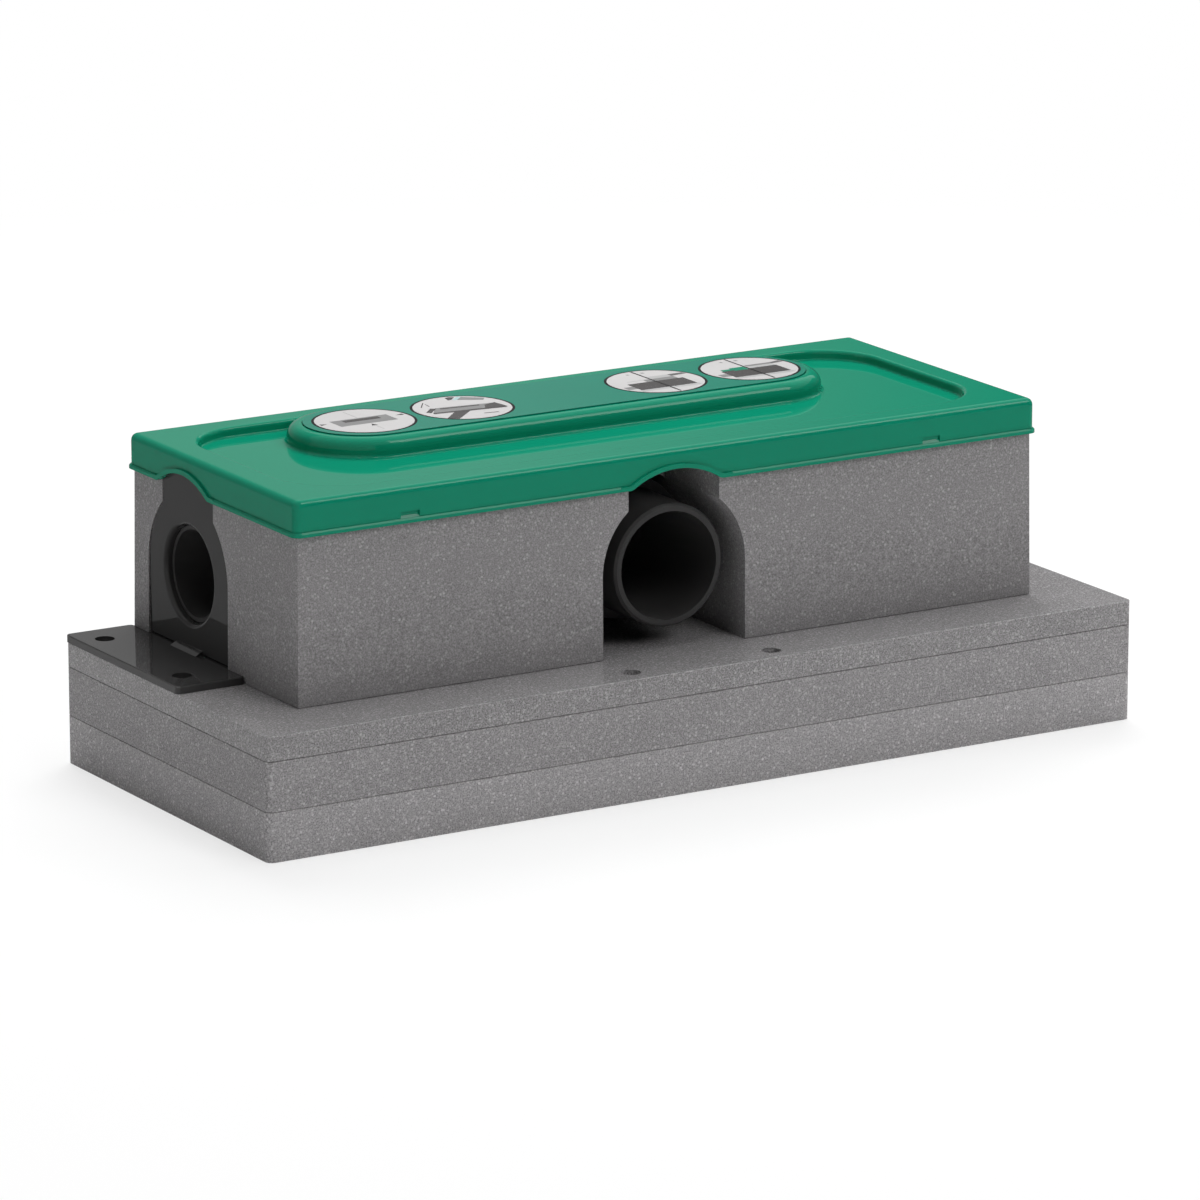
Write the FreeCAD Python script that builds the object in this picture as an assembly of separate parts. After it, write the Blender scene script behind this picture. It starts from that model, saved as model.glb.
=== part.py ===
"""Shower drain body: a three-way drain trough in a foam surround, on height slabs, under its site cover.

Millimetres. The origin is the middle of the base's underside, +Z is up, +X runs along the base and
-Y is the side that the outlet leaves by. The back, +Y, stands against the wall.
"""
import FreeCAD
import Part
import math
import os

Vector = FreeCAD.Vector
UP = Vector(0, 0, 1)

# Height slabs
base_length = 400.0
base_depth = 167.0
base_corner_radius = 3.0
slab_bottom_thickness = 20.0
slab_middle_thickness = 20.0
slab_top_thickness = 10.0
slab_edge_radius = 0.3
slab_seam_height = 0.25
slab_seam_depth = 0.8

# Foam surround
end_margin = 30.0
front_margin = 30.0
surround_draft_deg = 0.65
surround_edge_radius = 0.8
surround_seam_height = 0.3
surround_seam_depth = 0.8
tunnel_room = 8.0
tunnel_roof = 8.8
slot_half_width = 21.0
slot_depth = 42.0
trough_room = 0.5

# Outlet pipe, the same in all three directions
pipe_diameter = 50.0
pipe_wall = 3.0
pipe_axis_height = 33.5
pipe_setback = 4.5
pipe_end_chamfer = 1.0
pipe_end_gap = 0.5
pipe_stop_width = 2.0
pipe_stop_height = 1.5

# Drain trough
drain_setback = 47.25
end_room = 30.5
trough_inner_radius = 22.0
trough_wall = 2.5
trough_floor = 2.5
neck_upstand = 4.7
ledge_width = 2.0
ledge_height = 3.0
ledge_below_collar = 13.3
socket_length = 25.0
socket_shoulder = 3.0
socket_clearance = 0.3
socket_wall = 2.0

# Lip rings in the sockets
lip_ring_width = 6.0
lip_ring_depth = 2.0
lip_ring_from_mouth = 5.0
lip_ring_clearance = 0.1

# Blank plugs
plug_flange_thickness = 3.0
plug_face_thickness = 3.0
stub_radius = 19.3
stub_wall = 1.6
stub_setback = 3.0

# Brackets
bracket_thickness = 3.0
bracket_clearance = 0.3
bracket_top_drop = 0.5
bracket_foot_gap = 0.6
bracket_bore_clearance = 0.35
bracket_bore_edge_radius = 1.8
bracket_collar_length = 7.0
bracket_collar_wall = 2.5
foot_length = 94.5
foot_thickness = 3.0
foot_corner_radius = 2.0
foot_edge_radius = 0.5
foot_tongue_reach = 8.0
foot_hole_radius = 4.0
foot_hole_spacing = 65.0
foot_hole_offset = 20.0
wedge_width = 21.0
wedge_depth = 3.2
wedge_height = 1.8

# Sealing collar and inlet seal
collar_thickness = 1.5
collar_margin = 5.0
collar_corner_radius = 8.0
collar_grip = 0.2
inlet_seal_overhang = 1.5
inlet_seal_crown = 1.5
inlet_seal_skirt = 2.5
inlet_seal_inner_lip = 0.9
inlet_seal_clearance = 0.1

# Odour trap
trap_clearance = 0.3
trap_seal_thickness = 1.5
trap_plate_thickness = 2.5
dip_half_length = 40.0
dip_inner_radius = 12.0
dip_wall = 2.0
dip_flange_thickness = 2.0
dip_floor_gap = 7.0
cup_radius = 18.6
cup_wall = 1.8
cup_floor = 2.0
cup_under_gap = 4.5
cup_rim_drop = 13.5
hanger_width = 8.0
hanger_spread = 30.0
grip_width = 12.0
grip_thickness = 2.0
grip_height = 7.5
grip_corner_radius = 5.0
grip_spread = 66.0

# Hair strainer
strainer_radius = 16.0
strainer_thickness = 2.0
strainer_slot_width = 2.4
strainer_slot_pitch = 6.0
strainer_slot_half_length = 8.0
strainer_knob_radius = 4.0
strainer_knob_height = 5.0

# Protective cover
cover_wall = 1.2
skirt_clearance = 0.45
skirt_height = 14.2
skirt_corner_radius = 3.0
skirt_inner_corner_radius = 0.8
cover_edge_radius = 2.8
cover_inner_edge_radius = 0.7
lip_proud = 1.0
lip_height = 1.85
lip_edge_chamfer = 0.6
notch_rise = 6.4
notch_overlap = 0.5
notch_corner_radius = 4.0
tray_border = 13.5
tray_depth = 4.0
tray_corner_radius = 27.0
tray_edge_radius = 1.6
tray_foot_radius = 0.9
boss_gap = 3.3
boss_headroom = 0.5
boss_edge_radius = 5.0
boss_rim_width = 1.0
boss_foot_radius = 1.2
clip_spread = 120.4
clip_width = 8.3
clip_height = 2.6
clip_depth = 0.9
clip_slope_height = 1.1

# Printed label plate in the boss's window
label_thickness = 1.3
label_proud = 0.5
label_clearance = 0.35
label_ledge_width = 2.0

# Levels, from the floor upwards
slab_middle_level = slab_bottom_thickness
slab_top_level = slab_middle_level + slab_middle_thickness
base_top = slab_top_level + slab_top_thickness
pipe_radius = pipe_diameter / 2
tunnel_radius = pipe_radius + tunnel_room
pipe_level = base_top + pipe_axis_height
surround_top = pipe_level + tunnel_radius + tunnel_roof
collar_top = surround_top + collar_thickness
ledge_top = collar_top - ledge_below_collar
seam_level = ledge_top - ledge_height
trap_level = ledge_top + trap_seal_thickness
trap_top = trap_level + trap_plate_thickness
neck_top = collar_top + neck_upstand
tray_level = collar_top + cover_wall
cover_top = tray_level + tray_depth
lip_bottom = cover_top - skirt_height
boss_rim = cover_wall + label_thickness - label_proud
boss_top = neck_top + inlet_seal_crown + boss_headroom + boss_rim
label_top = boss_top + label_proud
label_bottom = label_top - label_thickness
foot_top = base_top + foot_thickness

# Outlines
draft = math.tan(math.radians(surround_draft_deg))
lip_inset = draft * (lip_bottom - base_top)
skirt_reach = skirt_clearance + cover_wall - lip_inset
surround_half_length = base_length / 2 - end_margin
surround_back = base_depth / 2 - skirt_reach - lip_proud
surround_front = front_margin - base_depth / 2
skirt_half_length = surround_half_length + skirt_reach
skirt_front = surround_front - skirt_reach
skirt_back = surround_back + skirt_reach
drain_y = base_depth / 2 - drain_setback
trough_radius = trough_inner_radius + trough_wall
trough_half_length = surround_half_length - end_room - socket_length - trough_radius
socket_bore_radius = pipe_radius + socket_clearance
socket_radius = socket_bore_radius + lip_ring_depth + socket_wall
boss_radius = trough_radius + inlet_seal_overhang + boss_gap + cover_wall
label_radius = boss_radius - boss_edge_radius - boss_rim_width

# Distances outwards from the middle of the trough, to the front and to each end
front_reach = drain_y - surround_front
front_wall = trough_radius
end_wall = trough_half_length + trough_radius
plate_face = surround_half_length - draft * (surround_top - base_top)
plate_back = plate_face - bracket_thickness

# A cut starts and ends this far outside the solid that it goes through
past = 1.0

# Two places nearer than this count as the same
same_place = 0.001


def box(x_low, x_high, y_low, y_high, z_low, z_high):
    """Upright block between two corners."""
    return Part.makeBox(x_high - x_low, y_high - y_low, z_high - z_low, Vector(x_low, y_low, z_low))


def rounded_block(x_low, x_high, y_low, y_high, z_low, z_high, radius):
    """Upright block with its four vertical edges rounded."""
    block = box(x_low, x_high, y_low, y_high, z_low, z_high)
    return block.makeFillet(radius, upright_edges(block))


def upright_edges(shape):
    """Straight vertical edges of a shape."""
    chosen = []
    for edge in shape.Edges:
        reach = edge.BoundBox
        if reach.ZLength > same_place and reach.XLength < same_place and reach.YLength < same_place:
            chosen.append(edge)
    return chosen


def level_edges(shape, level, within=None):
    """Edges that lie at one level, and inside a bounding box where one is given."""
    chosen = []
    for edge in shape.Edges:
        reach = edge.BoundBox
        flat = abs(reach.ZMin - level) < same_place and abs(reach.ZMax - level) < same_place
        if flat and (within is None or within.isInside(reach)):
            chosen.append(edge)
    return chosen


def obround_face(half_length, radius, level):
    """Level obround about the middle of the trough."""
    front = drain_y - radius
    back = drain_y + radius
    right_tip = Vector(half_length + radius, drain_y, level)
    left_tip = Vector(-half_length - radius, drain_y, level)
    outline = [
        Part.LineSegment(Vector(-half_length, front, level), Vector(half_length, front, level)),
        Part.Arc(Vector(half_length, front, level), right_tip, Vector(half_length, back, level)),
        Part.LineSegment(Vector(half_length, back, level), Vector(-half_length, back, level)),
        Part.Arc(Vector(-half_length, back, level), left_tip, Vector(-half_length, front, level)),
    ]
    return Part.Face(Part.Wire([piece.toShape() for piece in outline]))


def obround(half_length, radius, z_low, z_high):
    """Upright obround block about the middle of the trough."""
    return obround_face(half_length, radius, z_low).extrude(UP * (z_high - z_low))


def outward(radius, start, end):
    """Round bar along the outlet axis, from one distance in front of the trough's middle to another."""
    return Part.makeCylinder(radius, end - start, Vector(0, drain_y - start, pipe_level), Vector(0, -1, 0))


def facing(shape, side):
    """Turn a shape made for the front outlet to another side of the trough."""
    turned = shape.copy()
    turned.rotate(Vector(0, drain_y, 0), UP, {"front": 0, "left": -90, "right": 90}[side])
    return turned


def upright_profile(points_and_arcs, start, end):
    """Extrude an outline drawn across the outlet axis between two distances in front of the trough."""
    edges = []
    for piece in points_and_arcs:
        corners = [Vector(across, drain_y - start, level) for across, level in piece]
        if len(corners) == 2:
            edges.append(Part.LineSegment(*corners).toShape())
        else:
            edges.append(Part.Arc(*corners).toShape())
    return Part.Face(Part.Wire(edges)).extrude(Vector(0, start - end, 0))


def tunnel(radius, bottom, start, end):
    """Round-headed passage about the outlet axis, open downwards."""
    outline = [
        [(-radius, bottom), (-radius, pipe_level)],
        [(-radius, pipe_level), (0, pipe_level + radius), (radius, pipe_level)],
        [(radius, pipe_level), (radius, bottom)],
        [(radius, bottom), (-radius, bottom)],
    ]
    return upright_profile(outline, start, end)


def slotted_tunnel(radius, half_slot, bottom, top, start, end):
    """Round-headed passage about the outlet axis, with a slot above it."""
    shoulder = pipe_level + math.sqrt(radius ** 2 - half_slot ** 2)
    bow = radius * math.cos(math.radians(30))
    flank = pipe_level + radius * math.sin(math.radians(30))
    outline = [
        [(-radius, bottom), (-radius, pipe_level)],
        [(-radius, pipe_level), (-bow, flank), (-half_slot, shoulder)],
        [(-half_slot, shoulder), (-half_slot, top)],
        [(-half_slot, top), (half_slot, top)],
        [(half_slot, top), (half_slot, shoulder)],
        [(half_slot, shoulder), (bow, flank), (radius, pipe_level)],
        [(radius, pipe_level), (radius, bottom)],
        [(radius, bottom), (-radius, bottom)],
    ]
    return upright_profile(outline, start, end)


def base_plug_spots():
    """Place of each floor plug's hole: two in front of the outlet and two under each foot."""
    spots = []
    for side in (-1, 1):
        across = side * foot_hole_spacing / 2
        spots.append((across, surround_front - foot_hole_offset))
        for end in (-1, 1):
            along = end * (surround_half_length + foot_hole_offset)
            spots.append((along, drain_y + across))
    return spots


def slab_block(inset, z_low, z_high):
    """Block of the slabs' outline, drawn in all round by an inset."""
    half_length = base_length / 2 - inset
    half_depth = base_depth / 2 - inset
    return rounded_block(-half_length, half_length, -half_depth, half_depth,
                         z_low, z_high, base_corner_radius - inset)


def base_slab(level, thickness):
    """Loose foam slab with through holes for the floor plugs, on a sole that is set in to show a seam."""
    top = level + thickness
    slab = slab_block(0, level + slab_seam_height, top)
    slab = slab.makeFillet(slab_edge_radius, level_edges(slab, top))
    slab = slab.fuse(slab_block(slab_seam_depth, level, level + slab_seam_height))
    for x, y in base_plug_spots():
        slab = slab.cut(Part.makeCylinder(foot_hole_radius, thickness + 2 * past, Vector(x, y, level - past)))
    return slab.removeSplitter()


def surround_corners(level):
    """Corners of the drafted surround at one level."""
    inset = draft * (level - base_top)
    half = surround_half_length - inset
    front = surround_front + inset
    back = surround_back - inset
    return [Vector(-half, front, level), Vector(half, front, level),
            Vector(half, back, level), Vector(-half, back, level)]


def drafted_block():
    """Flat-sided block of the surround, narrower at its top."""
    low = surround_corners(base_top)
    high = surround_corners(surround_top)
    outlines = [low[::-1], high]
    for corner in range(4):
        outlines.append([low[corner - 1], low[corner], high[corner], high[corner - 1]])
    faces = [Part.Face(Part.makePolygon(outline + outline[:1])) for outline in outlines]
    return Part.Solid(Part.Shell(faces))


def surround_layer(inset, z_low, z_high):
    """Flat layer of the surround's foot, drawn in all round by an inset."""
    half = surround_half_length - inset
    return box(-half, half, surround_front + inset, surround_back - inset, z_low, z_high)


def foam_surround():
    """Foam block lowered over the trough, with a tunnel to the front and to each end, slotted at its mouth.

    The slot stops short of the trough, so the block stays in one piece. Its foot is set in to show a seam.
    """
    low = base_top - past
    high = surround_top + past
    block = drafted_block()
    block = block.makeFillet(surround_edge_radius, level_edges(block, surround_top))
    seam_top = base_top + surround_seam_height
    block = block.cut(surround_layer(-past, low, seam_top))
    block = block.fuse(surround_layer(surround_seam_depth, base_top, seam_top))
    block = block.cut(obround(trough_half_length, trough_radius + trough_room, low, high))
    reaches = {"front": front_reach, "left": surround_half_length, "right": surround_half_length}
    for side, reach in reaches.items():
        passage = tunnel(tunnel_radius, low, 0, reach + past)
        mouth = slotted_tunnel(tunnel_radius, slot_half_width, low, high, reach - slot_depth, reach + past)
        block = block.cut(facing(passage, side)).cut(facing(mouth, side))
    return block


def drain_trough():
    """Lower half of the trough: floor and walls, with a round port to the front and to each end."""
    shell = obround(trough_half_length, trough_radius, base_top, seam_level)
    room = obround(trough_half_length, trough_inner_radius, base_top + trough_floor, seam_level + past)
    shell = shell.cut(room)
    for side, wall in (("front", front_wall), ("left", end_wall), ("right", end_wall)):
        shell = shell.cut(facing(outward(pipe_radius - pipe_wall, wall - trough_radius, wall + past), side))
    return shell


def neck_frame():
    """Upper half of the trough, welded on: the inlet neck with a ledge inside for the trap."""
    ring = obround(trough_half_length, trough_radius, seam_level, neck_top)
    ring = ring.cut(obround(trough_half_length, trough_inner_radius, ledge_top, neck_top + past))
    well = obround(trough_half_length, trough_inner_radius - ledge_width, seam_level - past, neck_top)
    return ring.cut(well)


def pipe_socket(side, wall):
    """Socket welded over a port, with a stop shoulder for the pipe and a groove for its ring."""
    sleeve = outward(socket_radius, wall - trough_radius, wall + socket_length)
    ring_start = wall + socket_length - lip_ring_from_mouth - lip_ring_width
    cuts = [
        outward(pipe_radius - pipe_wall, wall - trough_radius - past, wall + socket_shoulder + past),
        outward(socket_bore_radius, wall + socket_shoulder, wall + socket_length + past),
        outward(socket_bore_radius + lip_ring_depth, ring_start, ring_start + lip_ring_width),
    ]
    for cut in cuts:
        sleeve = sleeve.cut(cut)
    trough = obround(trough_half_length, trough_radius, base_top - past, neck_top + past)
    return facing(sleeve, side).cut(trough).removeSplitter()


def lip_ring(side, wall):
    """Rubber ring that fills a socket's groove round the pipe or plug."""
    ring_start = wall + socket_length - lip_ring_from_mouth - lip_ring_width + lip_ring_clearance
    ring_end = ring_start + lip_ring_width - 2 * lip_ring_clearance
    ring = outward(socket_bore_radius + lip_ring_depth - lip_ring_clearance, ring_start, ring_end)
    ring = ring.cut(outward(pipe_radius + lip_ring_clearance, ring_start - past, ring_end + past))
    return facing(ring, side)


def outlet_spigot():
    """Pipe end with a stop ring at the front socket's mouth, ending just inside the tunnel."""
    start = front_wall + socket_shoulder + pipe_end_gap
    socket_mouth = front_wall + socket_length
    end = front_reach - pipe_setback
    tube = outward(pipe_radius, start, end)
    rims = [edge for edge in tube.Edges if abs(edge.BoundBox.YMax - (drain_y - end)) < same_place]
    tube = tube.makeChamfer(pipe_end_chamfer, rims)
    tube = tube.fuse(outward(pipe_radius + pipe_stop_height, socket_mouth, socket_mouth + pipe_stop_width))
    return tube.cut(outward(pipe_radius - pipe_wall, start - past, end + past)).removeSplitter()


def blank_plug(side):
    """Plug that closes an unused socket, with a hollow stub that rests in the bracket's bore."""
    start = end_wall + socket_shoulder + pipe_end_gap
    socket_mouth = end_wall + socket_length
    flange_end = socket_mouth + plug_flange_thickness
    plug = outward(pipe_radius, start, socket_mouth + past)
    plug = plug.fuse(outward(socket_radius, socket_mouth, flange_end))
    plug = plug.fuse(outward(stub_radius, socket_mouth, plate_face - stub_setback))
    plug = plug.cut(outward(stub_radius - stub_wall, start + plug_face_thickness, plate_face + past))
    return facing(plug.removeSplitter(), side)


def at_mouth(edge, radius, depth):
    """Whether an edge is a round one of this radius, at this depth."""
    if not isinstance(edge.Curve, Part.Circle):
        return False
    return abs(edge.Curve.Radius - radius) < same_place and abs(edge.CenterOfMass.y - depth) < same_place


def bracket_plate(side):
    """Plate that fills the tunnel's mouth, with a collared bore for the plug's stub."""
    bottom = foot_top + bracket_foot_gap
    top = surround_top - bracket_top_drop
    bore_radius = stub_radius + bracket_bore_clearance
    collar_end = plate_back - bracket_collar_length
    plate = slotted_tunnel(tunnel_radius - bracket_clearance, slot_half_width - bracket_clearance,
                           bottom, top, plate_back, plate_face)
    heel = box(-wedge_width / 2, wedge_width / 2, drain_y - plate_face, drain_y - plate_back,
               foot_top, bottom + past)
    plate = plate.fuse(heel)
    plate = plate.fuse(outward(bore_radius + bracket_collar_wall, collar_end, plate_back))
    plate = plate.cut(outward(bore_radius, collar_end - past, plate_face + past))
    plate = plate.removeSplitter()
    mouth = [edge for edge in plate.Edges if at_mouth(edge, bore_radius, drain_y - plate_face)]
    return facing(plate.makeFillet(bracket_bore_edge_radius, mouth), side)


def bracket_foot(side):
    """Foot plate screwed down in front of the tunnel, with a tongue under the plate and a wedge before it."""
    outer = drain_y - base_length / 2
    inner = drain_y - surround_half_length
    half_tongue = tunnel_radius - bracket_clearance
    foot = rounded_block(-foot_length / 2, foot_length / 2, outer, inner,
                         base_top, foot_top, foot_corner_radius)
    foot = foot.makeFillet(foot_edge_radius, level_edges(foot, foot_top))
    tongue = box(-half_tongue, half_tongue, inner - foot_corner_radius, inner + foot_tongue_reach,
                 base_top, foot_top)
    wedge_back = drain_y - plate_face
    wedge_points = [Vector(-wedge_width / 2, wedge_back, foot_top),
                    Vector(-wedge_width / 2, wedge_back - wedge_depth, foot_top),
                    Vector(-wedge_width / 2, wedge_back, foot_top + wedge_height)]
    wedge = Part.Face(Part.makePolygon(wedge_points + wedge_points[:1])).extrude(Vector(wedge_width, 0, 0))
    foot = foot.fuse(tongue).fuse(wedge)
    for across in (-1, 1):
        place = Vector(across * foot_hole_spacing / 2, inner - foot_hole_offset, base_top - past)
        foot = foot.cut(Part.makeCylinder(foot_hole_radius, foot_thickness + 2 * past, place))
    return facing(foot.removeSplitter(), side)


def sealing_collar():
    """Waterproofing sheet laid flat on the foam, with a hole that grips the neck."""
    inset = draft * (surround_top - base_top) + collar_margin
    sheet = rounded_block(-surround_half_length + inset, surround_half_length - inset, surround_front + inset,
                          surround_back - inset, surround_top, collar_top, collar_corner_radius)
    hole = obround(trough_half_length, trough_radius + collar_grip, surround_top - past, collar_top + past)
    return sheet.cut(hole)


def inlet_seal():
    """Rubber profile pushed over the neck's rim."""
    outer = trough_radius + inlet_seal_overhang
    inner = trough_inner_radius - inlet_seal_inner_lip
    low = neck_top - inlet_seal_skirt
    profile = obround(trough_half_length, outer, low, neck_top + inlet_seal_crown)
    profile = profile.cut(obround(trough_half_length, inner, low - past, neck_top + inlet_seal_crown + past))
    groove = obround(trough_half_length, trough_radius + inlet_seal_clearance, low - past, neck_top)
    core = obround(trough_half_length, trough_inner_radius - inlet_seal_clearance, low - past, neck_top)
    return profile.cut(groove.cut(core))


def trap_seal():
    """Flat ring between the trough's ledge and the trap."""
    ring = obround(trough_half_length, trough_inner_radius - trap_clearance, ledge_top, trap_level)
    hole = obround(trough_half_length, trough_inner_radius - ledge_width, ledge_top - past, trap_level + past)
    return ring.cut(hole)


def trap_plate():
    """Plate that closes the trough but for a long hole, with two finger grips to lift the trap by."""
    plate = obround(trough_half_length, trough_inner_radius - trap_clearance, trap_level, trap_top)
    plate = plate.cut(obround(dip_half_length, dip_inner_radius, trap_level - past, trap_top + past))
    for end in (-1, 1):
        plate = plate.fuse(rounded_grip(end * grip_spread, trap_top))
    return plate.removeSplitter()


def dip_tube():
    """Long tube welded under the trap plate by its flange, which reaches down into the water cup."""
    low = base_top + trough_floor + cup_under_gap + cup_floor + dip_floor_gap
    flange_radius = cup_radius - cup_wall - trap_clearance
    tube = obround(dip_half_length, dip_inner_radius + dip_wall, low, trap_level)
    tube = tube.fuse(obround(dip_half_length, flange_radius, trap_level - dip_flange_thickness, trap_level))
    return tube.cut(obround(dip_half_length, dip_inner_radius, low - past, trap_level + past))


def rounded_grip(middle, level):
    """Upright finger tab with rounded upper corners."""
    top = level + grip_height
    tab = box(middle - grip_width / 2, middle + grip_width / 2, drain_y - grip_thickness / 2,
              drain_y + grip_thickness / 2, level, top)
    corners = [edge for edge in level_edges(tab, top) if edge.BoundBox.XLength < same_place]
    return tab.makeFillet(grip_corner_radius, corners)


def trap_cup():
    """Water cup round the dip tube, hung from the trap plate by four straps."""
    low = base_top + trough_floor + cup_under_gap
    cup = obround(dip_half_length, cup_radius, low, trap_level - cup_rim_drop)
    for end in (-1, 1):
        middle = end * hanger_spread
        for y_low in (drain_y - cup_radius, drain_y + cup_radius - cup_wall):
            cup = cup.fuse(box(middle - hanger_width / 2, middle + hanger_width / 2, y_low, y_low + cup_wall,
                               low, trap_level))
    cup = cup.cut(obround(dip_half_length, cup_radius - cup_wall, low + cup_floor, trap_level + past))
    return cup.removeSplitter()


def hair_strainer():
    """Slotted plate over the dip tube, with a small knob to lift it by."""
    low = trap_top
    top = low + strainer_thickness
    plate = obround(dip_half_length, strainer_radius, low, top)
    half_count = int((dip_half_length - strainer_knob_radius) // strainer_slot_pitch)
    for place in range(-half_count, half_count + 1):
        middle = place * strainer_slot_pitch
        if abs(middle) > strainer_knob_radius + strainer_slot_width / 2:
            plate = plate.cut(box(middle - strainer_slot_width / 2, middle + strainer_slot_width / 2,
                                  drain_y - strainer_slot_half_length, drain_y + strainer_slot_half_length,
                                  low - past, top + past))
    return plate.fuse(Part.makeCylinder(strainer_knob_radius, strainer_knob_height, Vector(0, drain_y, top)))


def notch_edge(offset):
    """Lower edge of the skirt over a tunnel: two corner arcs and a flat arch, moved up by an offset."""
    half = slot_half_width - notch_overlap
    arch_radius = (half ** 2 + notch_rise ** 2) / (2 * notch_rise)
    arch_centre = lip_bottom + notch_rise - arch_radius
    corner_level = lip_bottom + notch_corner_radius
    corner_across = math.sqrt((arch_radius + notch_corner_radius) ** 2 - (corner_level - arch_centre) ** 2)
    lean = math.atan2(corner_across, corner_level - arch_centre)
    arch = arch_radius + offset
    corner = notch_corner_radius - offset
    meet = (arch * math.sin(lean), arch_centre + arch * math.cos(lean))
    bend = (corner_across - corner * math.sin(lean / 2), corner_level - corner * math.cos(lean / 2))
    foot = (corner_across, lip_bottom + offset)
    end = (corner_across + notch_corner_radius, lip_bottom + offset)
    left = [(-across, level) for across, level in (end, foot, bend, meet)]
    return [
        [left[0], left[1]],
        [left[1], left[2], left[3]],
        [left[3], (0, arch_centre + arch), meet],
        [meet, bend, foot],
        [foot, end],
    ]


def notch_cut(start, end):
    """What a notch takes out of the skirt."""
    edge = notch_edge(0)
    right = edge[-1][-1]
    left = edge[0][0]
    low_right = (right[0], lip_bottom - past)
    low_left = (left[0], lip_bottom - past)
    outline = edge + [[right, low_right], [low_right, low_left], [low_left, left]]
    return upright_profile(outline, start, end)


def notch_lip(start, end):
    """The rim bead carried round a notch."""
    low = notch_edge(0)
    high = [list(reversed(piece)) for piece in reversed(notch_edge(lip_height))]
    outline = low + [[low[-1][-1], high[0][0]]] + high + [[high[-1][-1], low[0][0]]]
    return upright_profile(outline, start, end)


def cover_outer():
    """Outside of the cover: a rounded block with a tray sunk into it and a boss standing in the tray."""
    block = rounded_block(-skirt_half_length, skirt_half_length, skirt_front, skirt_back,
                          lip_bottom, cover_top, skirt_corner_radius)
    block = block.makeFillet(cover_edge_radius, level_edges(block, cover_top))
    tray = tray_block(0, tray_level, cover_top + past)
    block = block.cut(tray)
    inside = FreeCAD.BoundBox(
        -skirt_half_length + tray_border - past, skirt_front + tray_border - past, lip_bottom,
        skirt_half_length - tray_border + past, skirt_back - tray_border + past, boss_top)
    block = block.makeFillet(tray_edge_radius, level_edges(block, cover_top, inside))
    block = block.makeFillet(tray_foot_radius, level_edges(block, tray_level, inside))
    boss = obround(trough_half_length, boss_radius, tray_level - cover_wall / 2, boss_top)
    boss = boss.makeFillet(boss_edge_radius, level_edges(boss, boss_top))
    block = block.fuse(boss)
    foot_box = FreeCAD.BoundBox(
        -trough_half_length - boss_radius - past, drain_y - boss_radius - past, lip_bottom,
        trough_half_length + boss_radius + past, drain_y + boss_radius + past, boss_top)
    return block.makeFillet(boss_foot_radius, level_edges(block, tray_level, foot_box))


def tray_block(grow, z_low, z_high):
    """Block of the tray's outline, grown sideways by a wall."""
    edge = tray_border - grow
    return rounded_block(-skirt_half_length + edge, skirt_half_length - edge,
                         skirt_front + edge, skirt_back - edge,
                         z_low, z_high, tray_corner_radius + grow)


def cover_inner():
    """Inside of the cover, one wall in from the outside."""
    room = rounded_block(-skirt_half_length + cover_wall, skirt_half_length - cover_wall,
                         skirt_front + cover_wall, skirt_back - cover_wall,
                         lip_bottom - past, cover_top - cover_wall, skirt_inner_corner_radius)
    room = room.makeFillet(cover_inner_edge_radius, level_edges(room, cover_top - cover_wall))
    room = room.cut(tray_block(cover_wall, tray_level - cover_wall, cover_top + past))
    room_top = boss_top - boss_rim
    boss_room = obround(trough_half_length, boss_radius - cover_wall, lip_bottom, room_top)
    boss_room = boss_room.makeFillet(boss_edge_radius - boss_rim, level_edges(boss_room, room_top))
    return room.fuse(boss_room)


def clip_pocket(middle, face, inward):
    """Snap pocket just above the rim bead, with a floor that slopes in from the skirt."""
    low = lip_bottom + lip_height
    high = low + clip_height
    start = middle - clip_width / 2
    back = face + inward * clip_depth
    corners = [Vector(start, face - inward * past, low), Vector(start, face, low),
               Vector(start, back, low + clip_slope_height), Vector(start, back, high),
               Vector(start, face - inward * past, high)]
    return Part.Face(Part.makePolygon(corners + corners[:1])).extrude(Vector(clip_width, 0, 0))


def protective_cover():
    """Green site cover: thin moulded lid with a rim bead, notches, clip pockets and a window in its boss."""
    inner = cover_inner()
    shell = cover_outer().cut(inner)
    lip = rounded_block(-skirt_half_length - lip_proud, skirt_half_length + lip_proud,
                        skirt_front - lip_proud, skirt_back + lip_proud,
                        lip_bottom, lip_bottom + lip_height, skirt_corner_radius + lip_proud)
    lip = lip.makeChamfer(lip_edge_chamfer, level_edges(lip, lip_bottom + lip_height))
    shell = shell.fuse(lip.cut(inner))
    skirts = {"front": drain_y - skirt_front, "left": skirt_half_length, "right": skirt_half_length}
    for side, skirt in skirts.items():
        shell = shell.cut(facing(notch_cut(skirt - cover_wall - past, skirt + lip_proud + past), side))
        shell = shell.fuse(facing(notch_lip(skirt - cover_wall, skirt + lip_proud), side))
    for end in (-1, 1):
        shell = shell.cut(clip_pocket(end * clip_spread, skirt_front, 1))
        shell = shell.cut(clip_pocket(end * clip_spread, skirt_back, -1))
    shell = shell.cut(obround(trough_half_length, label_radius, label_bottom, boss_top + past))
    window = obround(trough_half_length, label_radius - label_ledge_width, lip_bottom, boss_top + past)
    return shell.cut(window).removeSplitter()


def cover_label():
    """Printed plate that lies on the ledge of the boss's window and stands a little proud of its rim."""
    return obround(trough_half_length, label_radius - label_clearance, label_bottom, label_top)


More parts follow.
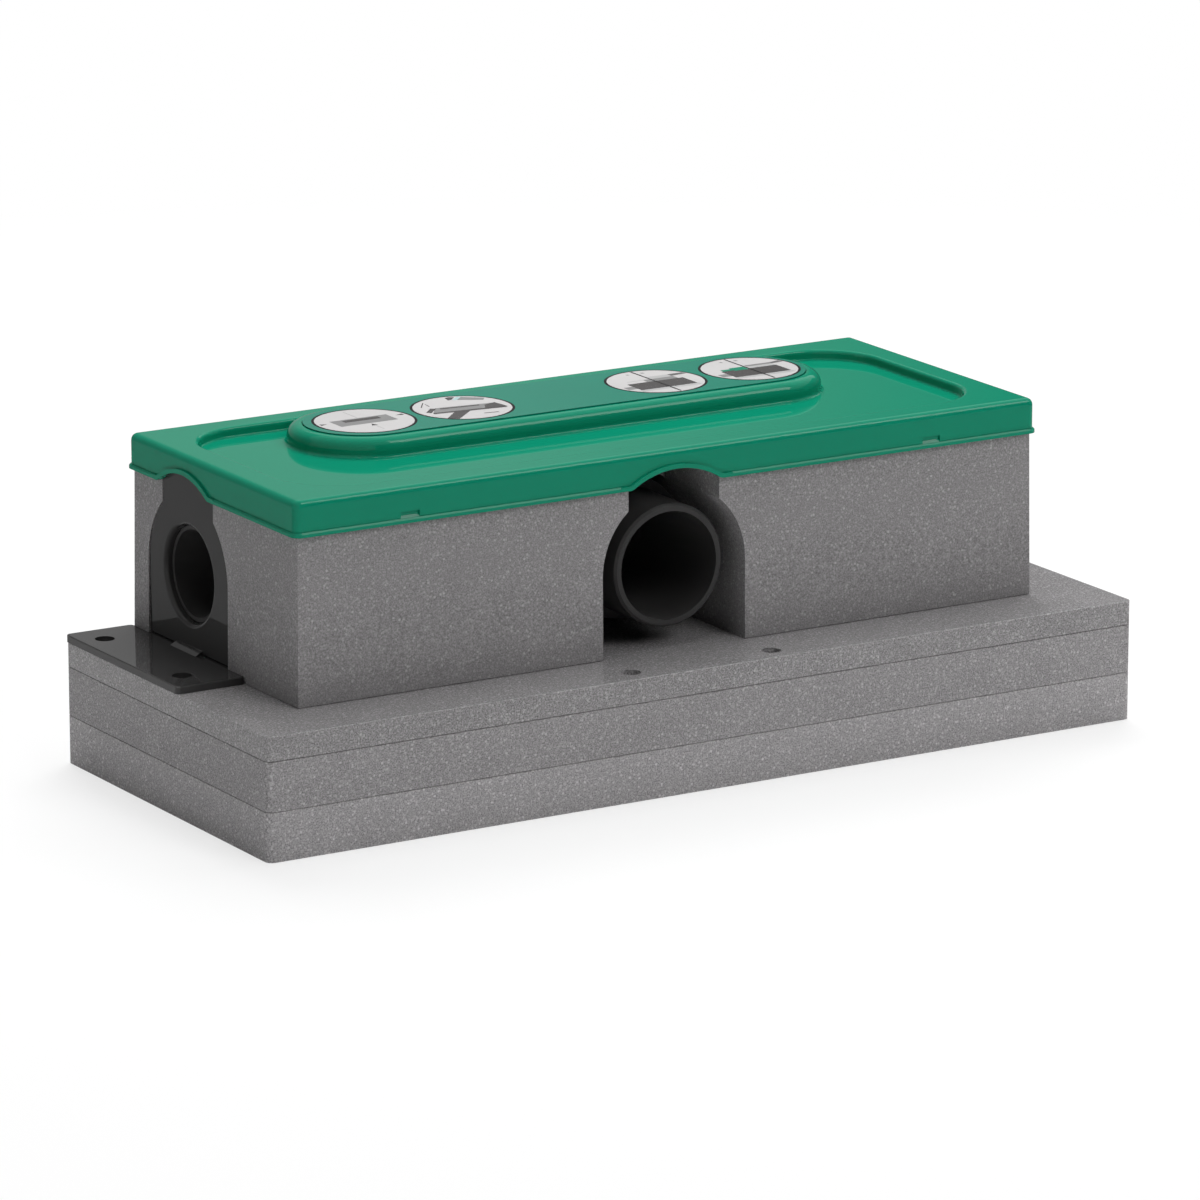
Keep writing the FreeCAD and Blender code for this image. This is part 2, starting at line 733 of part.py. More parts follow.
pieces = {
    "base_slab_bottom": base_slab(0, slab_bottom_thickness),
    "base_slab_middle": base_slab(slab_middle_level, slab_middle_thickness),
    "base_slab_top": base_slab(slab_top_level, slab_top_thickness),
    "foam_surround": foam_surround(),
    "drain_trough": drain_trough(),
    "neck_frame": neck_frame(),
    "front_socket": pipe_socket("front", front_wall),
    "outlet_spigot": outlet_spigot(),
    "outlet_seal": lip_ring("front", front_wall),
    "sealing_collar": sealing_collar(),
    "inlet_seal": inlet_seal(),
    "trap_seal": trap_seal(),
    "trap_plate": trap_plate(),
    "dip_tube": dip_tube(),
    "trap_cup": trap_cup(),
    "hair_strainer": hair_strainer(),
    "protective_cover": protective_cover(),
    "cover_label": cover_label(),
}
for side in ("left", "right"):
    pieces[side + "_socket"] = pipe_socket(side, end_wall)
    pieces[side + "_blank_plug"] = blank_plug(side)
    pieces[side + "_plug_seal"] = lip_ring(side, end_wall)
    pieces[side + "_bracket_plate"] = bracket_plate(side)
    pieces[side + "_bracket_foot"] = bracket_foot(side)

os.makedirs("parts", exist_ok=True)
for name, shape in pieces.items():
    shape.exportStep("parts/" + name + ".step")
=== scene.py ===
import math

import bmesh
import bpy
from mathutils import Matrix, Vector


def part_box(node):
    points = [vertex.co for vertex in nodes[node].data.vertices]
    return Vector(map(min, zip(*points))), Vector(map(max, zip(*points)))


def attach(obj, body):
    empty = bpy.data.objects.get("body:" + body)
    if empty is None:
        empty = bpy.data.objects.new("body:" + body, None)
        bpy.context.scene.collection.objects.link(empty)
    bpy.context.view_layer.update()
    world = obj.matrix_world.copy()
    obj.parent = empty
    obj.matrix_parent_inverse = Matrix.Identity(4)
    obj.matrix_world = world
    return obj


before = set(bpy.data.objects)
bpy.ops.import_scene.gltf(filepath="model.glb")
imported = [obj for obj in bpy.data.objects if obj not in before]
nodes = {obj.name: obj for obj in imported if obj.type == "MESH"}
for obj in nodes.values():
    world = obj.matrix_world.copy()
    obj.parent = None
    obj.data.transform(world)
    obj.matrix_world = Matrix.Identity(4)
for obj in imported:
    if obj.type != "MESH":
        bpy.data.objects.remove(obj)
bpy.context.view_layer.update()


# Height slabs and surround
# Grey bead foam, pressed in closed moulds and stacked loose. Each bead keeps its own shade, with
# tight joints between beads and a sprinkle of pale ones. The top slab has the smoothest skin.
# The blocks' foam is painted paler towards the floor, standing in for the floor's bounce light.
def shader_group(name, inputs, outputs):
    """Empty shader group with its sockets, and its inner input and output nodes."""
    tree = bpy.data.node_groups.new(name, "ShaderNodeTree")
    for socket, kind, value in inputs:
        tree.interface.new_socket(socket, in_out="INPUT", socket_type=kind).default_value = value
    for socket, kind in outputs:
        tree.interface.new_socket(socket, in_out="OUTPUT", socket_type=kind)
    return tree, tree.nodes.new("NodeGroupInput"), tree.nodes.new("NodeGroupOutput")


def add_node(tree, kind, links=(), **settings):
    """Node with its settings, input values and incoming links."""
    node = tree.nodes.new(kind)
    for name, value in settings.items():
        setattr(node, name, value)
    for socket, source in links:
        if isinstance(source, bpy.types.NodeSocket):
            tree.links.new(source, node.inputs[socket])
        else:
            node.inputs[socket].default_value = source
    return node


def math_node(tree, operation, first, second):
    """Output of one sum or product of two sockets or numbers."""
    links = [(0, first), (1, second)]
    return add_node(tree, "ShaderNodeMath", links, operation=operation).outputs[0]


def spread(tree, source, low, high, to_low=0.0, to_high=1.0):
    """Source stretched from one range to another, held at its ends."""
    links = [("Value", source), ("From Min", low), ("From Max", high),
             ("To Min", to_low), ("To Max", to_high)]
    return add_node(tree, "ShaderNodeMapRange", links).outputs["Result"]


def noise(tree, place, scale, detail, distortion=0.0):
    """Cloudy noise about a half, with so many clouds to the metre."""
    links = [("Vector", place), ("Scale", scale), ("Detail", detail), ("Distortion", distortion)]
    return add_node(tree, "ShaderNodeTexNoise", links).outputs["Fac"]


def bump_normal(tree, height, strength, distance):
    """Normal of a skin raised by a height, over a distance in metres."""
    links = [("Height", height), ("Strength", strength), ("Distance", distance)]
    return add_node(tree, "ShaderNodeBump", links).outputs["Normal"]


def bead_lot(tree, bead, weights):
    """Even random number of each bead, which doesn't follow its place."""
    mixed = add_node(tree, "ShaderNodeVectorMath", [(0, bead.outputs["Color"]), (1, weights)],
                     operation="DOT_PRODUCT").outputs["Value"]
    return add_node(tree, "ShaderNodeMath", [(0, mixed)], operation="FRACT").outputs[0]


def bead_foam_group():
    """Bead shades, pale specks and surface height of moulded bead foam."""
    shade_weights, speck_weights = (23.7, 91.1, 47.9), (37.1, 53.7, 71.3)
    pale_from, pale_strength = 0.75, 0.6
    grain_scale, cloud_scale = 1700.0, 60.0
    bead_share, grain_share, cloud_share = 0.4, 1.6, 0.15
    shade_low, shade_high = 0.46, 1.44
    tree, given, result = shader_group(
        "bead_foam",
        [("Offset", "NodeSocketVector", (0, 0, 0)), ("Beads per Metre", "NodeSocketFloat", 760.0)],
        [("Shade", "NodeSocketFloat"), ("Specks", "NodeSocketFloat"), ("Height", "NodeSocketFloat")])
    place = add_node(tree, "ShaderNodeTexCoord").outputs["Object"]
    place = add_node(tree, "ShaderNodeVectorMath", [(0, place), (1, given.outputs["Offset"])],
                     operation="ADD").outputs["Vector"]
    bead = add_node(tree, "ShaderNodeTexVoronoi",
                    [("Vector", place), ("Scale", given.outputs["Beads per Metre"])])
    bead_dome = spread(tree, bead.outputs["Distance"], 0.1, 0.6, 1.0, 0.0)
    bead_shade = math_node(tree, "MULTIPLY", bead_lot(tree, bead, shade_weights), bead_dome)
    grain = noise(tree, place, grain_scale, detail=2.0)
    cloud = noise(tree, place, cloud_scale, detail=3.0)
    pale_beads = spread(tree, bead_lot(tree, bead, speck_weights), pale_from, 1.0, 0.0, pale_strength)
    bead_heart = spread(tree, bead.outputs["Distance"], 0.2, 0.5, 1.0, 0.0)
    shade = math_node(tree, "MULTIPLY", bead_shade, bead_share)
    shade = math_node(tree, "ADD", shade, math_node(tree, "MULTIPLY", grain, grain_share))
    shade = math_node(tree, "ADD", shade, math_node(tree, "MULTIPLY", cloud, cloud_share))
    tree.links.new(spread(tree, shade, shade_low, shade_high), result.inputs["Shade"])
    tree.links.new(math_node(tree, "MULTIPLY", pale_beads, bead_heart), result.inputs["Specks"])
    tree.links.new(math_node(tree, "ADD", bead_dome, bead_shade), result.inputs["Height"])
    return tree


def principled(name):
    """New material with its node tree and its shader."""
    material = bpy.data.materials.new(name)
    material.use_nodes = True
    return material, material.node_tree, material.node_tree.nodes["Principled BSDF"]


def blend_colours(tree, factor, low, high):
    """Colour between two others."""
    mix = add_node(tree, "ShaderNodeMix", [("Factor", factor)], data_type="RGBA")
    for socket, colour in ((mix.inputs[6], low), (mix.inputs[7], high)):
        if isinstance(colour, bpy.types.NodeSocket):
            tree.links.new(colour, socket)
        else:
            socket.default_value = (*colour, 1.0)
    return mix.outputs[2]


foam_group = bead_foam_group()
foam_dark = (0.176, 0.171, 0.1735)
foam_light = (0.4375, 0.425, 0.431)
foam_speck = (0.58, 0.57, 0.575)


def foam_material(name, offset, painted_light_lift, contrast, index, roughness):
    """Bead foam of one block, with its own run of beads, its own skin and a painted lift that makes it
    paler or darker in place of the light on it.
    """
    material, tree, shader = principled(name)
    beads = add_node(tree, "ShaderNodeGroup", node_tree=foam_group)
    beads.inputs["Offset"].default_value = offset
    # Painted light: the lift scales every shade of the foam to paint in the light that falls on this
    # block.
    shades = list(zip(foam_dark, foam_light))
    dark = [painted_light_lift * ((1 + contrast) * low + (1 - contrast) * high) / 2 for low, high in shades]
    light = [painted_light_lift * ((1 - contrast) * low + (1 + contrast) * high) / 2 for low, high in shades]
    speck = [level * painted_light_lift for level in foam_speck]
    colour = blend_colours(tree, beads.outputs["Shade"], dark, light)
    colour = blend_colours(tree, beads.outputs["Specks"], colour, speck)
    tree.links.new(colour, shader.inputs["Base Color"])
    normal = bump_normal(tree, beads.outputs["Height"], strength=0.1, distance=0.0001)
    tree.links.new(normal, shader.inputs["Normal"])
    shader.inputs["Roughness"].default_value = roughness
    shader.inputs["Diffuse Roughness"].default_value = 0.3
    shader.inputs["IOR"].default_value = index
    return material


def dress(node, material):
    """Finish of a CAD piece."""
    nodes[node].material_slots[0].material = material


matt_skin = {"index": 1.07, "roughness": 0.25}
smooth_skin = {"index": 1.5, "roughness": 0.08}
# Painted light: the lower slabs are lifted paler and the surround darker to paint in the floor's bounce.
foam_blocks = {
    "base_slab_bottom": {"painted_light_lift": 1.38, "contrast": 1.35, **matt_skin},
    "base_slab_middle": {"painted_light_lift": 1.16, "contrast": 1.35, **matt_skin},
    "base_slab_top": {"painted_light_lift": 1.05, "contrast": 1.6, **smooth_skin},
    "foam_surround": {"painted_light_lift": 0.985, "contrast": 1.0, **matt_skin},
}
bead_run = (0.31, 0.17, 0.23)
for order, (block, look) in enumerate(foam_blocks.items()):
    offset = [step * order for step in bead_run]
    dress(block, foam_material("grey_foam_" + block, offset, **look))


# Trough, neck, sockets, spigot and plugs
# Black polypropylene mouldings with a fine spark-eroded skin, welded or pushed together. They are
# duller than the brackets.
def moulded_skin_group():
    """Slow clouding and fine grain of a moulded plastic skin."""
    tree, given, result = shader_group(
        "moulded_skin",
        [("Grain per Metre", "NodeSocketFloat", 900.0), ("Clouds per Metre", "NodeSocketFloat", 14.0)],
        [("Cloud", "NodeSocketFloat"), ("Grain", "NodeSocketFloat")])
    place = add_node(tree, "ShaderNodeTexCoord").outputs["Object"]
    grain = noise(tree, place, given.outputs["Grain per Metre"], detail=3.0)
    cloud = noise(tree, place, given.outputs["Clouds per Metre"], detail=4.0)
    tree.links.new(cloud, result.inputs["Cloud"])
    tree.links.new(grain, result.inputs["Grain"])
    return tree


skin_group = moulded_skin_group()


def plastic_material(name, dark, light, rough, grain, bump, specular=0.5, index=1.5):
    """Moulded plastic with a little clouding in its colour and gloss."""
    material, tree, shader = principled(name)
    skin = add_node(tree, "ShaderNodeGroup", node_tree=skin_group)
    skin.inputs["Grain per Metre"].default_value = grain
    cloud = skin.outputs["Cloud"]
    tree.links.new(blend_colours(tree, cloud, dark, light), shader.inputs["Base Color"])
    tree.links.new(spread(tree, cloud, 0.3, 0.7, *rough), shader.inputs["Roughness"])
    normal = bump_normal(tree, skin.outputs["Grain"], strength=0.2, distance=bump)
    tree.links.new(normal, shader.inputs["Normal"])
    shader.inputs["Specular IOR Level"].default_value = specular
    shader.inputs["IOR"].default_value = index
    return material


satin_black = plastic_material(
    "satin_black_plastic", dark=(0.041, 0.04, 0.04), light=(0.049, 0.048, 0.048),
    rough=(0.32, 0.42), grain=1400.0, bump=0.00006, specular=0.1)
for piece in ("drain_trough", "neck_frame", "front_socket", "left_socket", "right_socket",
              "outlet_spigot", "left_blank_plug", "right_blank_plug"):
    dress(piece, satin_black)


# Seals
# Soft black rubber rings and profiles, pressed into their grooves. They are matt and a little dusty.
soft_rubber = plastic_material(
    "soft_rubber", dark=(0.013, 0.013, 0.014), light=(0.03, 0.03, 0.031),
    rough=(0.7, 0.85), grain=2200.0, bump=0.00005)
for piece in ("outlet_seal", "left_plug_seal", "right_plug_seal", "trap_seal", "inlet_seal"):
    dress(piece, soft_rubber)


# Odour trap and strainer
# Grey polypropylene pieces that lift out by hand, with a light satin skin.
trap_grey = plastic_material(
    "trap_grey_plastic", dark=(0.16, 0.165, 0.17), light=(0.2, 0.205, 0.21),
    rough=(0.3, 0.42), grain=1300.0, bump=0.00005)
for piece in ("trap_plate", "dip_tube", "trap_cup", "hair_strainer"):
    dress(piece, trap_grey)


# Brackets
# Black plastic plates and feet from a polished mould, glossy enough to mirror each other. The feet
# are plugged to the floor through the slabs.
gloss_black = plastic_material(
    "glossy_black_plastic", dark=(0.035, 0.034, 0.034), light=(0.041, 0.04, 0.04),
    rough=(0.015, 0.025), grain=700.0, bump=0.000002, specular=0.15)
foot_black = plastic_material(
    "polished_black_plastic", dark=(0.043, 0.042, 0.042), light=(0.049, 0.048, 0.048),
    rough=(0.02, 0.03), grain=700.0, bump=0.000002)
for side in ("left", "right"):
    dress(side + "_bracket_plate", gloss_black)
    dress(side + "_bracket_foot", foot_black)


# Sealing collar
# Waterproofing sheet faced with white fleece, laid flat on the foam round the neck. Its short fibres
# lie in every direction.
def fleece_material():
    """White fleece with tangled fibres."""
    hollow_white, fibre_white = (0.5, 0.5, 0.49), (0.82, 0.82, 0.8)
    material, tree, shader = principled("white_fleece")
    place = add_node(tree, "ShaderNodeTexCoord").outputs["Object"]
    fibre = noise(tree, place, 420.0, detail=5.0, distortion=2.5)
    colour = blend_colours(tree, fibre, hollow_white, fibre_white)
    tree.links.new(colour, shader.inputs["Base Color"])
    normal = bump_normal(tree, fibre, strength=0.6, distance=0.0004)
    tree.links.new(normal, shader.inputs["Normal"])
    shader.inputs["Roughness"].default_value = 0.95
    shader.inputs["Sheen Weight"].default_value = 0.2
    return material


dress("sealing_collar", fleece_material())


# Protective cover
# Thin green moulding with a smooth glossy skin, clipped over the foam until the floor is tiled.
cover_green = plastic_material(
    "glossy_green_plastic", dark=(0.003, 0.23, 0.134), light=(0.004, 0.242, 0.141),
    rough=(0.02, 0.035), grain=800.0, bump=0.000001, specular=0.11)
dress("protective_cover", cover_green)


# Label plate and its print
# Thin satin plate on the ledge of the boss's window, printed with pale discs in dark rings. Their
# pictures are plain blocks of grey and green: a slotted plate, a strip laid aslant and two steps.
label_green = plastic_material(
    "satin_green_film", dark=(0.003, 0.194, 0.128), light=(0.005, 0.208, 0.137),
    rough=(0.16, 0.22), grain=1200.0, bump=0.000002, specular=0.15)
dress("cover_label", label_green)
label_low, label_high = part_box("cover_label")
label_top = label_high[2]
label_middle = (label_low[1] + label_high[1]) / 2
ink_layer = 0.00002
disc_radius = 0.0211
ring_width = 0.0011
disc_places = (-0.0895, -0.0445, 0.0463, 0.0913)


def ink_material(name, dark, light, index=1.5):
    """Printed ink, a little uneven in its cover."""
    return plastic_material(name, dark, light, rough=(0.2, 0.28), grain=2600.0, bump=0.000002,
                            specular=0.12, index=index)


dull_index = 1.1
ring_ink = ink_material("ring_ink", (0.018, 0.02, 0.02), (0.024, 0.026, 0.026), dull_index)
pale_ink = ink_material("pale_ink", (0.52, 0.51, 0.51), (0.58, 0.57, 0.57))
mid_ink = ink_material("mid_grey_ink", (0.2, 0.2, 0.2), (0.25, 0.25, 0.25))
dark_ink = ink_material("dark_grey_ink", (0.055, 0.052, 0.052), (0.075, 0.07, 0.07))
line_ink = ink_material("line_ink", (0.01, 0.01, 0.01), (0.014, 0.014, 0.014), dull_index)
green_ink = ink_material("green_ink", (0.003, 0.19, 0.11), (0.005, 0.23, 0.13))
shade_ink = ink_material("light_grey_ink", (0.4, 0.4, 0.4), (0.46, 0.46, 0.46))
mid_dark_ink = ink_material("mid_dark_grey_ink", (0.11, 0.108, 0.108), (0.14, 0.137, 0.137))
line_grey_ink = ink_material("line_grey_ink", (0.28, 0.28, 0.28), (0.33, 0.33, 0.33))
teal_ink = ink_material("teal_ink", (0.36, 0.52, 0.52), (0.42, 0.58, 0.58))


def print_patch(name, outlines, layer, ink):
    """Flat printed patch of one or more outlines, in metres from the label's middle."""
    mesh = bpy.data.meshes.new(name)
    shape = bmesh.new()
    low = label_top + ink_layer * layer
    for outline in outlines:
        floor = shape.faces.new([shape.verts.new((x, label_middle + y, low)) for x, y in outline])
        raised = bmesh.ops.extrude_face_region(shape, geom=[floor])["geom"]
        lifted = [item for item in raised if isinstance(item, bmesh.types.BMVert)]
        bmesh.ops.translate(shape, verts=lifted, vec=(0, 0, ink_layer))
    bmesh.ops.recalc_face_normals(shape, faces=shape.faces)
    shape.to_mesh(mesh)
    shape.free()
    patch = bpy.data.objects.new(name, mesh)
    bpy.context.scene.collection.objects.link(patch)
    mesh.materials.append(ink)
    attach(patch, "cover")


def circle(middle, radius, steps=96):
    """Outline of a disc about a place on the label's long axis."""
    turns = [2 * math.pi * step / steps for step in range(steps)]
    return [(middle + radius * math.cos(turn), radius * math.sin(turn)) for turn in turns]


def beside(middle, *corners):
    """Outline given in millimetres from a disc's middle."""
    return [(middle + x / 1000, y / 1000) for x, y in corners]


def bar(middle, x_low, x_high, y_low, y_high):
    """Outline of an upright bar, in millimetres from a disc's middle."""
    return beside(middle, (x_low, y_low), (x_high, y_low), (x_high, y_high), (x_low, y_high))


print_patch("disc_rings", [circle(place, disc_radius) for place in disc_places], 0, ring_ink)
print_patch("disc_fields", [circle(place, disc_radius - ring_width) for place in disc_places], 1, pale_ink)
plate_disc, strip_disc, step_disc, green_step_disc = disc_places

# First disc: a plate with a long slot, and marks on its four sides
print_patch("plate_picture", [bar(plate_disc, -13.0, 12.8, -4.7, 5.4)], 2, mid_ink)
print_patch("plate_slot", [bar(plate_disc, -8.2, 8.2, 0.6, 4.1)], 3, dark_ink)
print_patch("plate_marks", [
    beside(plate_disc, (-18.8, 0.9), (-15.8, 2.1), (-18.8, 3.3)),
    beside(plate_disc, (18.8, 0.9), (18.8, 3.3), (15.2, 2.1)),
    beside(plate_disc, (-1.4, -9.0), (1.3, -9.0), (-0.1, -5.8)),
], 2, dark_ink)
print_patch("plate_line", [
    bar(plate_disc, -0.15, 0.15, 6.2, 17.5),
    bar(plate_disc, -0.15, 0.15, -16.0, -9.4),
], 2, line_grey_ink)

# Second disc: a strip laid aslant on its branch, with a short block above it
print_patch("strip_body", [
    beside(strip_disc, (-15.2, -3.2), (15.4, -6.4), (15.0, 1.2), (-10.2, 4.4)),
], 2, mid_ink)
print_patch("strip_side", [
    beside(strip_disc, (-15.6, -4.6), (16.2, -8.4), (15.4, -6.0), (-15.2, -2.8)),
], 3, dark_ink)
print_patch("strip_slot", [
    beside(strip_disc, (-9.2, 1.5), (7.8, -0.3), (8.0, 1.0), (-8.8, 2.9)),
], 3, dark_ink)
print_patch("strip_ends", [
    beside(strip_disc, (-17.0, -0.6), (-15.6, -2.4), (-10.0, 3.6), (-12.2, 4.6)),
    beside(strip_disc, (7.4, -5.6), (16.8, -7.0), (15.6, 1.4), (10.0, -0.4)),
], 4, dark_ink)
print_patch("strip_branch", [
    beside(strip_disc, (-15.0, -13.9), (-10.8, -16.6), (0.4, -6.0), (-6.4, -5.0)),
], 2, dark_ink)
print_patch("strip_block", [
    beside(strip_disc, (4.8, 12.7), (14.0, 7.4), (16.2, 10.4), (8.9, 16.6)),
], 2, mid_ink)
print_patch("strip_grip", [
    beside(strip_disc, (1.2, 13.6), (2.9, 13.9), (6.2, 17.4), (4.4, 18.6), (2.2, 18.2)),
], 2, dark_ink)
print_patch("strip_arm", [
    beside(strip_disc, (2.9, 13.2), (4.8, 12.7), (8.9, 16.6), (7.2, 17.4)),
], 3, teal_ink)
print_patch("strip_marks", [
    beside(strip_disc, (-14.9, 7.6), (-14.5, 7.4), (-9.5, 14.8), (-9.9, 15.0)),
    beside(strip_disc, (-10.9, 8.0), (-10.4, 8.0), (-9.9, 12.6), (-10.3, 12.6)),
    beside(strip_disc, (2.4, -13.2), (8.6, -14.4), (8.8, -13.4), (2.6, -12.4)),
], 2, dark_ink)

# Third and fourth discs: a cut through a floor, with a step above a dark block and a line down it
for name, place in (("step", step_disc), ("green_step", green_step_disc)):
    print_patch(name + "_bed", [bar(place, -14.0, 13.8, -13.6, -11.0)], 2, shade_ink)
    print_patch(name + "_side", [bar(place, -17.6, -13.3, -8.2, -3.7)], 2, mid_ink)
    print_patch(name + "_block", [bar(place, -13.3, 13.2, -11.0, 0.5)], 3, dark_ink)
    print_patch(name + "_line", [bar(place, -0.35, 0.35, -19.4, 19.4)], 5, line_ink)
    print_patch(name + "_ticks", [
        bar(place, -4.6, -3.4, 14.8, 16.2),
        bar(place, 2.2, 3.8, 14.6, 16.4),
    ], 2, line_grey_ink)
print_patch("step_ledge", [
    bar(step_disc, 0.7, 11.2, 0.5, 4.6),
    bar(step_disc, -3.5, 0.2, 0.5, 4.6),
], 2, mid_ink)
print_patch("step_riser", [bar(step_disc, 0.7, 11.2, 4.6, 8.4)], 2, shade_ink)
print_patch("step_tab", [
    beside(step_disc, (10.6, 5.2), (18.4, 6.2), (17.4, 8.6), (10.6, 8.4)),
], 3, mid_dark_ink)
print_patch("step_rim", [bar(step_disc, -11.0, -3.5, 3.9, 4.6)], 2, shade_ink)
print_patch("green_step_fill", [
    bar(green_step_disc, -12.3, -7.3, 0.5, 3.0),
    bar(green_step_disc, -7.3, -0.6, -0.6, 4.4),
], 4, green_ink)
print_patch("green_step_ledge", [bar(green_step_disc, 1.0, 13.2, 0.5, 3.6)], 2, shade_ink)
print_patch("green_step_riser", [bar(green_step_disc, 1.0, 13.2, 3.6, 6.0)], 2, mid_ink)
print_patch("green_step_tab", [
    beside(green_step_disc, (13.2, 3.6), (19.0, 4.4), (18.2, 7.0), (13.2, 5.8)),
], 3, mid_dark_ink)


# Studio floor and room
# Pale painted floor in a white room. The floor turns to plain white away from the object and keeps
# its shadow. The room is white only where it is seen or mirrored, and lights nothing.
floor_reach = 30.0
floor_mesh = bpy.data.meshes.new("studio_floor")
floor_mesh.from_pydata([(-floor_reach, -floor_reach, 0), (floor_reach, -floor_reach, 0),
                        (floor_reach, floor_reach, 0), (-floor_reach, floor_reach, 0)], [], [(0, 1, 2, 3)])
studio_floor = bpy.data.objects.new("studio_floor", floor_mesh)
bpy.context.scene.collection.objects.link(studio_floor)
floor_paint, floor_tree, floor_shader = principled("floor_paint")
floor_shader.inputs["Base Color"].default_value = (0.88, 0.88, 0.88, 1.0)
floor_shader.inputs["Roughness"].default_value = 0.9
floor_shader.inputs["Specular IOR Level"].default_value = 0.0
white = (1, 1, 1, 1)


def seen_ray(tree):
    """One where a ray comes from the camera, a mirror or a clear piece, and nought elsewhere."""
    path = add_node(tree, "ShaderNodeLightPath").outputs
    mirrored = math_node(tree, "MAXIMUM", path["Is Camera Ray"], path["Is Glossy Ray"])
    return math_node(tree, "MAXIMUM", mirrored, path["Is Transmission Ray"])


shadow_reach, white_from = 0.25, 1.1
near_white = 0.7
floor_place = add_node(floor_tree, "ShaderNodeTexCoord").outputs["Object"]
floor_far = add_node(floor_tree, "ShaderNodeVectorMath", [(0, floor_place)],
                     operation="LENGTH").outputs["Value"]
floor_fade = spread(floor_tree, floor_far, shadow_reach, white_from, near_white, 1.0)
floor_white = math_node(floor_tree, "MULTIPLY", seen_ray(floor_tree), floor_fade)
floor_glow = add_node(floor_tree, "ShaderNodeEmission", [("Color", white), ("Strength", 1.0)])
floor_mix = add_node(floor_tree, "ShaderNodeMixShader", [
    (0, floor_white), (1, floor_shader.outputs["BSDF"]), (2, floor_glow.outputs["Emission"])])
floor_tree.links.new(floor_mix.outputs["Shader"], floor_tree.nodes["Material Output"].inputs["Surface"])
floor_mesh.materials.append(floor_paint)

room = bpy.data.worlds.new("pale_room")
room.use_nodes = True
bpy.context.scene.world = room
room_tree = room.node_tree
room_tree.nodes.clear()
room_light = add_node(room_tree, "ShaderNodeBackground",
                      [("Color", white), ("Strength", seen_ray(room_tree))])
add_node(room_tree, "ShaderNodeOutputWorld", [("Surface", room_light.outputs["Background"])])


# Studio cards
# Grey cards round the set that only the glossy faces mirror: behind it, at the right, on the floor
# and in front. A bright one high at the front gives the cover its highlights.
def mirror_card(name, corners, levels, axis="X", places=(0.0, 1.0)):
    """Card that only the gloss mirrors, shaded along one axis between two places."""
    mesh = bpy.data.meshes.new(name)
    mesh.from_pydata(corners, [], [(0, 1, 2, 3)])
    card = bpy.data.objects.new(name, mesh)
    bpy.context.scene.collection.objects.link(card)
    paint, tree, _ = principled(name + "_paint")
    place = add_node(tree, "ShaderNodeTexCoord").outputs["Object"]
    along = add_node(tree, "ShaderNodeSeparateXYZ", [(0, place)]).outputs[axis]
    level = spread(tree, along, *places, *levels)
    glow = add_node(tree, "ShaderNodeEmission", [("Color", white), ("Strength", level)])
    tree.links.new(glow.outputs["Emission"], tree.nodes["Material Output"].inputs["Surface"])
    mesh.materials.append(paint)
    card.visible_camera = False
    card.visible_diffuse = False
    card.visible_shadow = False


def upright(start, end, low, high):
    """Corners of an upright card between two places on the floor."""
    return [(*start, low), (*end, low), (*end, high), (*start, high)]


def level_card(x_low, x_high, y_low, y_high, height=0.002):
    """Corners of a card that lies just above the floor."""
    outline = ((x_low, y_low), (x_high, y_low), (x_high, y_high), (x_low, y_high))
    return [(x, y, height) for x, y in outline]


rear, right, front = 2.2, 3.8, -2.4
mirror_card("rear_card", upright((-0.6, rear), (right, rear), 0.0, 1.2),
            levels=(0.347, 0.05), places=(1.23, 1.72))
mirror_card("rear_left_card", upright((-4.0, rear), (-0.6, rear), 0.0, 2.4), levels=(0.3, 0.3))
mirror_card("rear_upper_card", upright((-0.6, rear), (0.6, rear), 1.2, 2.4), levels=(0.3, 0.3))
mirror_card("right_card", upright((right, front), (right, rear), 0.0, 2.0), levels=(0.12, 0.12))
mirror_card("floor_card", level_card(-2.0, 3.0, 0.1, 2.15), levels=(0.5, 0.3), places=(-0.3, 0.0))
mirror_card("near_floor_card", level_card(-0.6, 0.6, -0.3, 0.1), levels=(0.42, 0.42))
mirror_card("front_card", upright((-0.5, front), (4.0, front), 0.2, 2.6), levels=(0.1, 0.1))
highlight_corners = [(0.55, -0.42, 2.48), (1.6, -0.42, 2.03), (1.6, -1.2, 1.55), (0.55, -1.2, 2.0)]
mirror_card("highlight_card", highlight_corners, levels=(9.5, 5.5), axis="Y", places=(-0.75, -0.6))


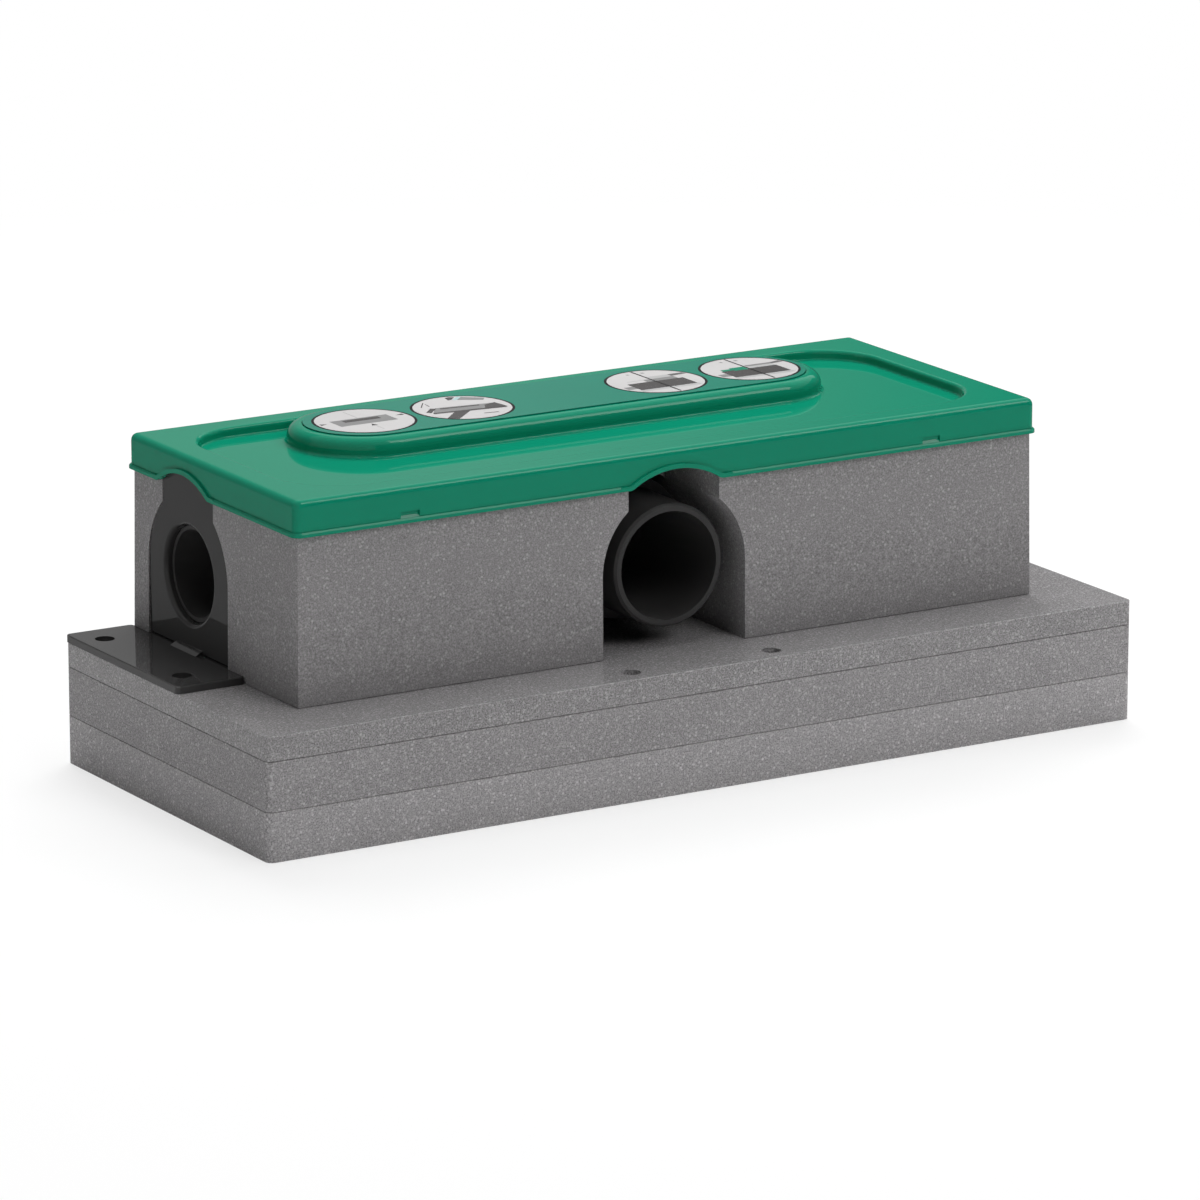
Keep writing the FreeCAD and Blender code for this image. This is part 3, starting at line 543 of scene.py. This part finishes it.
# Studio lamps
# Five soft boxes: overhead, behind, overhead at the right, in front and at the left. The gloss
# doesn't mirror them, since the cards stand in for what it shows.
def softbox(name, place, aim_height, size, power):
    """Rectangular lamp aimed at a height above the object's middle."""
    lamp = bpy.data.lights.new(name, "AREA")
    lamp.shape = "RECTANGLE"
    lamp.size, lamp.size_y = size
    lamp.energy = power
    holder = bpy.data.objects.new(name, lamp)
    holder.visible_glossy = False
    holder.location = place
    aim = Vector((0, 0, aim_height))
    holder.rotation_euler = (aim - Vector(place)).to_track_quat("-Z", "Y").to_euler()
    bpy.context.scene.collection.objects.link(holder)


softbox("overhead_softbox", (-0.15, 0.0, 2.2), aim_height=0.07, size=(1.6, 1.6), power=17.5)
softbox("overhead_back_softbox", (0.7, 1.25, 1.95), aim_height=0.07, size=(1.6, 1.0), power=49.0)
softbox("overhead_right_softbox", (1.3, 0.0, 2.0), aim_height=0.07, size=(1.0, 1.6), power=11.5)
softbox("front_softbox", (0.55, -2.0, 1.7), aim_height=0.08, size=(1.4, 1.2), power=24.5)
softbox("left_softbox", (-2.4, 0.0, 0.9), aim_height=0.08, size=(1.2, 1.2), power=5.6)


# Camera
# Long lens at the photograph's angle and distance, aimed so that the frame needs no shift.
camera_lens = bpy.data.cameras.new("camera")
camera_lens.sensor_width = 36.0
camera_lens.lens = 219.78
camera_lens.clip_end = 100.0
camera = bpy.data.objects.new("camera", camera_lens)
turn = math.radians(31.24)
rise = math.radians(14.352)
distance = 2.9385
object_middle = Vector((0, 0, 0.0697))
aim_left, aim_down = 0.00182, 0.01079
away = Vector((-math.sin(turn) * math.cos(rise), -math.cos(turn) * math.cos(rise), math.sin(rise)))
sideways = Vector((math.cos(turn), -math.sin(turn), 0))
upwards = away.cross(sideways)
camera.location = object_middle + away * distance
camera_aim = object_middle - sideways * aim_left - upwards * aim_down
camera.rotation_euler = (camera_aim - camera.location).to_track_quat("-Z", "Y").to_euler()
bpy.context.scene.collection.objects.link(camera)
bpy.context.scene.camera = camera
bpy.context.scene.view_settings.view_transform = "Standard"
